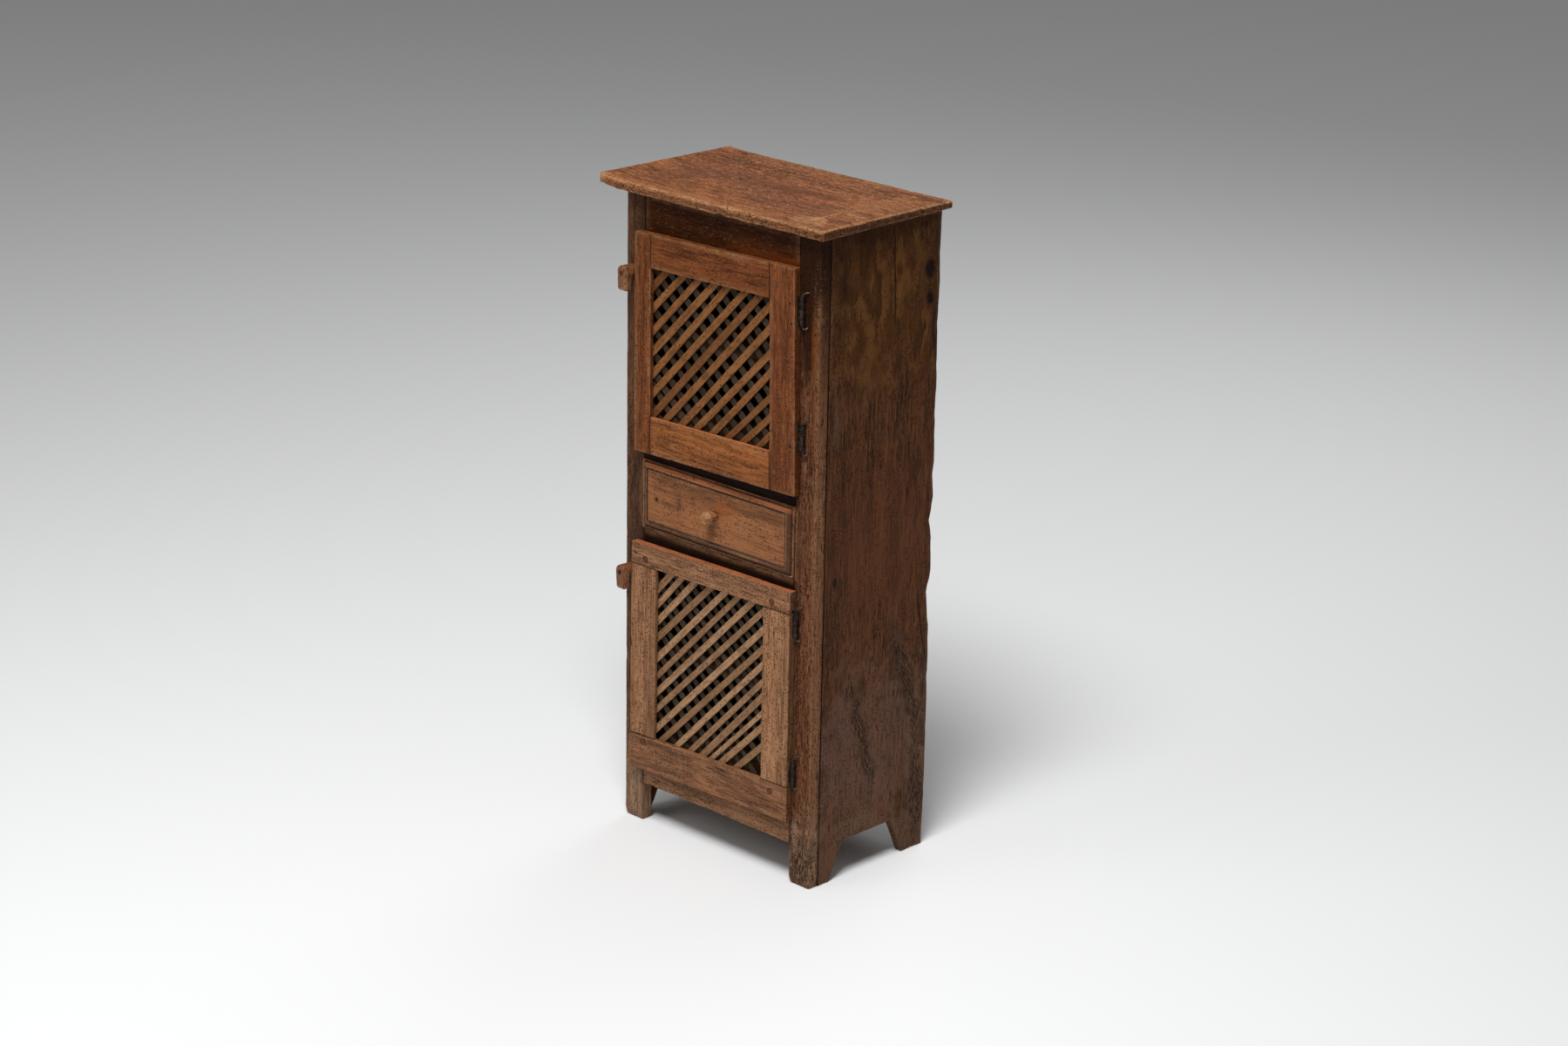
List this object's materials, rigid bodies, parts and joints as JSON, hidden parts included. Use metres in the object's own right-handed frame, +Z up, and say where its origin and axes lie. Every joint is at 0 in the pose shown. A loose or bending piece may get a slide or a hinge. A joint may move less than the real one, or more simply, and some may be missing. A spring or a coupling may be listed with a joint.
{
  "type": "pie safe",
  "caption": "Small rustic wooden food cupboard: plank top, lattice doors above and below a moulded drawer, barrel hinges on wire staples, turn-button catches and bracket feet.",
  "frame": {"origin": "on the floor, under the middle of the whole cupboard's outer box", "axes": "+Z up, the front with its doors and drawer faces -Y, +X is to the right as seen from the front, where the hinges are"},
  "size_m": [0.505, 0.3122, 1.1241],
  "materials": {
    "top_wood": "old waxed plank, worn paler along its edges",
    "carcass_wood": "old dark waxed wood with splits and worm holes",
    "door_wood": "old waxed reddish brown wood, worn at the arrises",
    "lattice_wood": "dry sawn slats",
    "inside_wood": "bare unfinished boards",
    "iron": "dark rust-browned wrought iron"
  },
  "bodies": {
    "carcass": {"top_board": "top_wood", "left_post": "carcass_wood", "right_post": "carcass_wood", "left_side": "carcass_wood", "right_side": "carcass_wood", "bottom_rail": "carcass_wood", "lower_middle_rail": "carcass_wood", "upper_middle_rail": "carcass_wood", "frieze_rail": "carcass_wood", "back_board_1": "inside_wood", "back_board_2": "inside_wood", "back_board_3": "inside_wood", "floor_board": "inside_wood", "floor_board_cleat_left": "inside_wood", "floor_board_cleat_right": "inside_wood", "lower_shelf": "inside_wood", "lower_shelf_cleat_left": "inside_wood", "lower_shelf_cleat_right": "inside_wood", "drawer_board": "inside_wood", "drawer_board_cleat_left": "inside_wood", "drawer_board_cleat_right": "inside_wood", "upper_floor_board": "inside_wood", "upper_floor_board_cleat_left": "inside_wood", "upper_floor_board_cleat_right": "inside_wood", "upper_shelf": "inside_wood", "upper_shelf_cleat_left": "inside_wood", "upper_shelf_cleat_right": "inside_wood", "drawer_guide_left": "inside_wood", "drawer_guide_right": "inside_wood", "upper_door_top_hinge_staple": "iron", "upper_door_bottom_hinge_staple": "iron", "lower_door_top_hinge_staple": "iron", "lower_door_bottom_hinge_staple": "iron", "upper_button_nail": "iron", "lower_button_nail": "iron"},
    "upper_door": {"upper_door_left_stile": "door_wood", "upper_door_right_stile": "door_wood", "upper_door_top_rail": "door_wood", "upper_door_bottom_rail": "door_wood", "upper_door_lattice": "lattice_wood", "upper_door_top_hinge_barrel": "iron", "upper_door_bottom_hinge_barrel": "iron"},
    "lower_door": {"lower_door_left_stile": "door_wood", "lower_door_right_stile": "door_wood", "lower_door_top_rail": "door_wood", "lower_door_bottom_rail": "door_wood", "lower_door_lattice": "lattice_wood", "lower_door_top_hinge_barrel": "iron", "lower_door_bottom_hinge_barrel": "iron"},
    "drawer": {"drawer_front": "door_wood", "drawer_side_left": "inside_wood", "drawer_side_right": "inside_wood", "drawer_back": "inside_wood", "drawer_bottom": "inside_wood", "drawer_knob": "top_wood"},
    "upper_button": {"upper_button": "top_wood"},
    "lower_button": {"lower_button": "top_wood"}
  },
  "joints": [
    {"name": "upper_door_swing", "type": "hinge", "parent": "carcass", "child": "upper_door", "pos_m": [0.20033, -0.12885, 0.87512], "axis": [-0.0245, 0, 0.9997], "range_deg": [0, 140]},
    {"name": "lower_door_swing", "type": "hinge", "parent": "carcass", "child": "lower_door", "pos_m": [0.1965, -0.12885, 0.3281], "axis": [0, 0, 1], "range_deg": [0, 130]},
    {"name": "drawer_slide", "type": "slide", "parent": "carcass", "child": "drawer", "axis": [0, -1, 0], "range_m": [0, 0.19]},
    {"name": "upper_button_turn", "type": "hinge", "parent": "carcass", "child": "upper_button", "pos_m": [-0.1903, -0.12385, 0.9676], "axis": [0, -1, 0], "continuous": true},
    {"name": "lower_button_turn", "type": "hinge", "parent": "carcass", "child": "lower_button", "pos_m": [-0.1925, -0.12385, 0.4506], "axis": [0, -1, 0], "continuous": true}
  ]
}
